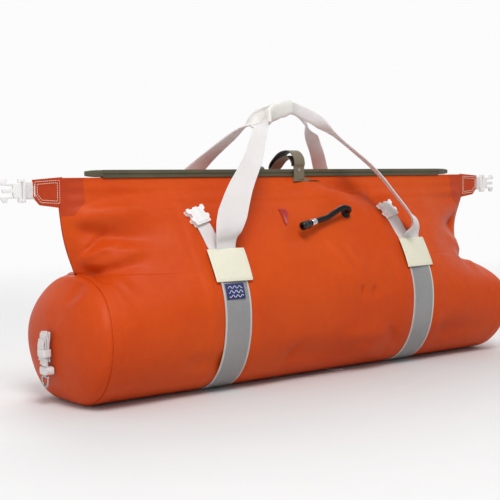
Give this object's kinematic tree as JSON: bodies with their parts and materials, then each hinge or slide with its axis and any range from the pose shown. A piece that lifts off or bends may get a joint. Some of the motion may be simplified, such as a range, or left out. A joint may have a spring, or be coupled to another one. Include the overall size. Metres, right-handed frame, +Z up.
{
  "type": "dry duffel bag",
  "caption": "Orange welded waterproof duffel with press-seal mouth, webbing handles, side-release buckles, lash D-rings and inflation valve.",
  "frame": {"origin": "on the floor, under the middle of the bag", "axes": "+X along the bag to its right end as seen from the front, -Y to the front face, +Z up"},
  "size_m": [1.07, 0.2438, 0.465],
  "materials": {
    "orange_fabric": "Glossy-satin polyurethane-coated orange fabric, welded",
    "olive_seal": "Extruded olive press seal, satin",
    "olive_web": "Olive coated strap, dark brown on its inner face",
    "white_web": "White woven nylon webbing",
    "white_plastic": "White acetal, moulded",
    "cream_fabric": "Cream coated patch fabric, welded",
    "grey_web": "Grey reflective webbing with pale selvedges",
    "black_rubber": "Glossy black rubber tube",
    "black_plastic": "Glossy black moulded plastic",
    "chrome": "Polished chrome, grooved",
    "steel": "Bent steel wire",
    "red_fabric": "Red coated fabric",
    "navy_label": null
  },
  "bodies": {
    "root": {"bag_body": "orange_fabric", "left_end_cap": "orange_fabric", "right_end_cap": "orange_fabric", "left_end_tab": "orange_fabric", "right_end_tab": "orange_fabric", "left_seal_end": "olive_seal", "right_seal_end": "olive_seal", "left_band": "grey_web", "right_band": "grey_web", "front_left_patch": "cream_fabric", "front_right_patch": "cream_fabric", "back_left_patch": "cream_fabric", "back_right_patch": "cream_fabric", "left_tab_web": "white_web", "right_tab_web": "white_web", "front_left_buckle_web": "white_web", "front_right_buckle_web": "white_web", "valve_boot": "black_rubber", "valve_tube": "black_rubber", "valve_nipple": "black_plastic", "left_lash_strap": "white_web", "right_lash_strap": "white_web", "left_lash_keeper": "white_web", "right_lash_keeper": "white_web", "valve_keeper_tab": "red_fabric", "band_label": "navy_label", "bottom_web_tab": "white_web"},
    "front_lip": {"front_lip": "orange_fabric", "front_seal_strip": "olive_seal", "front_loop_foot": "olive_web", "front_loop_rivet": "steel"},
    "back_lip": {"back_lip": "orange_fabric", "back_seal_strip": "olive_seal", "back_loop_foot": "olive_web", "back_loop_rivet": "steel"},
    "front_pull_loop": {"front_pull_loop": "olive_web"},
    "back_pull_loop": {"back_pull_loop": "olive_web"},
    "front_handle": {"front_handle_strap": "white_web", "front_grip_wrap": "cream_fabric"},
    "back_handle": {"back_handle_strap": "white_web", "back_grip_wrap": "cream_fabric"},
    "left_end_buckle": {"left_buckle_body": "white_plastic"},
    "right_end_buckle": {"right_buckle_body": "white_plastic"},
    "left_upper_latch_arm": {"left_upper_latch_arm": "white_plastic"},
    "left_lower_latch_arm": {"left_lower_latch_arm": "white_plastic"},
    "right_upper_latch_arm": {"right_upper_latch_arm": "white_plastic"},
    "right_lower_latch_arm": {"right_lower_latch_arm": "white_plastic"},
    "front_left_buckle": {"front_left_buckle_body": "white_plastic"},
    "front_right_buckle": {"front_right_buckle_body": "white_plastic"},
    "left_d_ring": {"left_d_ring": "steel"},
    "right_d_ring": {"right_d_ring": "steel"},
    "valve_lock_ring": {"valve_lock_ring": "chrome"},
    "valve_mouthpiece": {"valve_mouthpiece": "black_plastic"}
  },
  "joints": [
    {"name": "front_lip_open", "type": "hinge", "parent": "root", "child": "front_lip", "pos_m": [0, -0.03379, 0.295], "axis": [1, 0, 0], "range_deg": [0, 30]},
    {"name": "back_lip_open", "type": "hinge", "parent": "root", "child": "back_lip", "pos_m": [0, 0.03379, 0.295], "axis": [-1, 0, 0], "range_deg": [0, 30]},
    {"name": "front_pull_loop_lift", "type": "hinge", "parent": "front_lip", "child": "front_pull_loop", "pos_m": [0.015, -0.0067, 0.35], "axis": [1, 0, 0], "range_deg": [0, 90]},
    {"name": "back_pull_loop_lift", "type": "hinge", "parent": "back_lip", "child": "back_pull_loop", "pos_m": [-0.062, 0.0067, 0.3475], "axis": [1, 0, 0], "range_deg": [0, 80]},
    {"name": "front_handle_swing", "type": "hinge", "parent": "root", "child": "front_handle", "pos_m": [0, -0.09009, 0.23], "axis": [1, 0, 0], "range_deg": [0, 120]},
    {"name": "back_handle_swing", "type": "hinge", "parent": "root", "child": "back_handle", "pos_m": [0, 0.09009, 0.23], "axis": [-1, 0, 0], "range_deg": [0, 120]},
    {"name": "left_end_buckle_swing", "type": "hinge", "parent": "root", "child": "left_end_buckle", "pos_m": [-0.4965, 0, 0.3175], "axis": [0, 0, 1], "range_deg": [-90, 90]},
    {"name": "right_end_buckle_swing", "type": "hinge", "parent": "root", "child": "right_end_buckle", "pos_m": [0.4965, 0, 0.3175], "axis": [0, 0, 1], "range_deg": [-90, 90]},
    {"name": "left_upper_latch_squeeze", "type": "hinge", "parent": "left_end_buckle", "child": "left_upper_latch_arm", "pos_m": [-0.516, 0, 0.32613], "axis": [0, -1, 0], "range_deg": [0, 8], "stiffness_Nm_per_rad": 0.35},
    {"name": "left_lower_latch_squeeze", "type": "hinge", "parent": "left_end_buckle", "child": "left_lower_latch_arm", "pos_m": [-0.516, 0, 0.30887], "axis": [0, 1, 0], "range_deg": [0, 8], "stiffness_Nm_per_rad": 0.35},
    {"name": "right_upper_latch_squeeze", "type": "hinge", "parent": "right_end_buckle", "child": "right_upper_latch_arm", "pos_m": [0.516, 0, 0.32613], "axis": [0, 1, 0], "range_deg": [0, 8], "stiffness_Nm_per_rad": 0.35},
    {"name": "right_lower_latch_squeeze", "type": "hinge", "parent": "right_end_buckle", "child": "right_lower_latch_arm", "pos_m": [0.516, 0, 0.30887], "axis": [0, -1, 0], "range_deg": [0, 8], "stiffness_Nm_per_rad": 0.35},
    {"name": "front_left_buckle_flip", "type": "hinge", "parent": "root", "child": "front_left_buckle", "pos_m": [-0.23522, -0.06241, 0.25979], "axis": [0.9703, 0.1406, 0.1969], "range_deg": [0, 50]},
    {"name": "front_right_buckle_flip", "type": "hinge", "parent": "root", "child": "front_right_buckle", "pos_m": [0.17478, -0.06599, 0.25987], "axis": [0.9703, 0.1464, 0.1926], "range_deg": [0, 50]},
    {"name": "left_d_ring_swing", "type": "hinge", "parent": "root", "child": "left_d_ring", "pos_m": [-0.47117, 0, 0.0454], "axis": [0, 1, 0], "range_deg": [-10, 88]},
    {"name": "right_d_ring_swing", "type": "hinge", "parent": "root", "child": "right_d_ring", "pos_m": [0.47117, 0, 0.0454], "axis": [0, -1, 0], "range_deg": [-10, 88]},
    {"name": "valve_lock_ring_twist", "type": "hinge", "parent": "root", "child": "valve_lock_ring", "pos_m": [-0.01297, -0.08011, 0.25931], "axis": [-0.9687, -0.155, -0.1937], "range_deg": [0, 90]},
    {"name": "valve_mouthpiece_push", "type": "slide", "parent": "root", "child": "valve_mouthpiece", "axis": [0.9687, 0.155, 0.1937], "range_m": [0, 0.004], "stiffness_N_per_m": 400}
  ]
}
